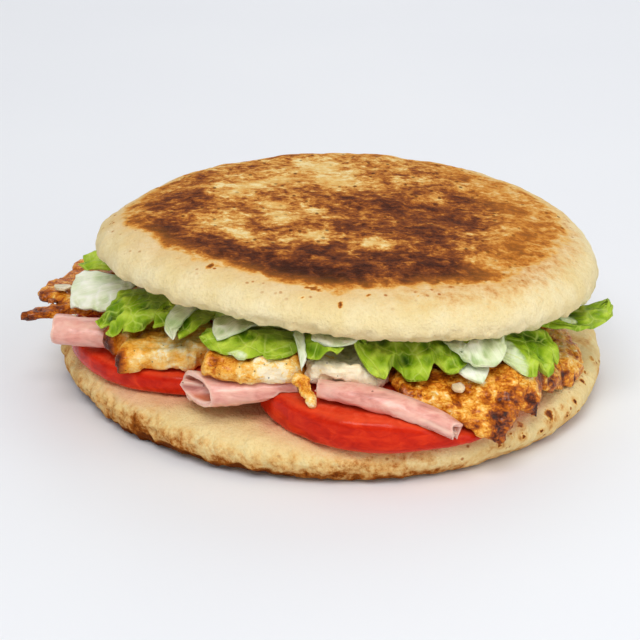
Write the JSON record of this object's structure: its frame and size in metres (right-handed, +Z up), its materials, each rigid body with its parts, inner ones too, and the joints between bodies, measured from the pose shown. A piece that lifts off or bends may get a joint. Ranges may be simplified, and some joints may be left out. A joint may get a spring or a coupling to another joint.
{
  "type": "filled arepa",
  "caption": "Split griddled corn cake with a browned flat top, filled with tomato, rolled ham, grilled chicken and lettuce that show all round its open side.",
  "frame": {"origin": "on the flat underside, below the middle of the filling", "axes": "+Z up, -Y towards the open front that shows most of the filling, +X to the right seen from there"},
  "size_m": [0.1526, 0.1436, 0.0483],
  "materials": {
    "bread": "soft matt corn bread, cream with a griddled golden-brown crust on its flat faces",
    "tomato": "moist red tomato skin and flesh",
    "ham": "moist pink sliced ham",
    "chicken": "seared chicken, golden brown over pale meat",
    "lettuce": "fresh lettuce leaf, satin",
    "lettuce_rib": "pale, slightly wet lettuce rib"
  },
  "bodies": {
    "root": {"arepa_bottom": "bread", "arepa_top": "bread", "tomato_front": "tomato", "tomato_left": "tomato", "tomato_back": "tomato", "ham_roll_left": "ham", "ham_roll_middle": "ham", "ham_roll_right": "ham", "ham_roll_back": "ham", "chicken_left": "chicken", "chicken_middle": "chicken", "chicken_white": "chicken", "chicken_right": "chicken", "chicken_crisp": "chicken", "chicken_back": "chicken", "chicken_shred": "chicken", "lettuce_bed": "lettuce", "leaf_far_left": "lettuce", "leaf_left": "lettuce", "leaf_left_small": "lettuce", "leaf_centre_small": "lettuce", "leaf_centre": "lettuce", "leaf_centre_right": "lettuce", "leaf_frilled": "lettuce", "leaf_right": "lettuce", "leaf_tip_right": "lettuce", "leaf_side_right": "lettuce", "leaf_back_right": "lettuce", "leaf_back": "lettuce", "leaf_back_left": "lettuce", "rib_left": "lettuce_rib", "rib_scrap": "lettuce_rib", "rib_chip": "lettuce_rib", "rib_under_edge": "lettuce_rib", "rib_right_small": "lettuce_rib", "rib_right": "lettuce_rib", "rib_centre_left": "lettuce_rib", "rib_centre": "lettuce_rib", "rib_shred": "lettuce_rib"}
  },
  "joints": []
}
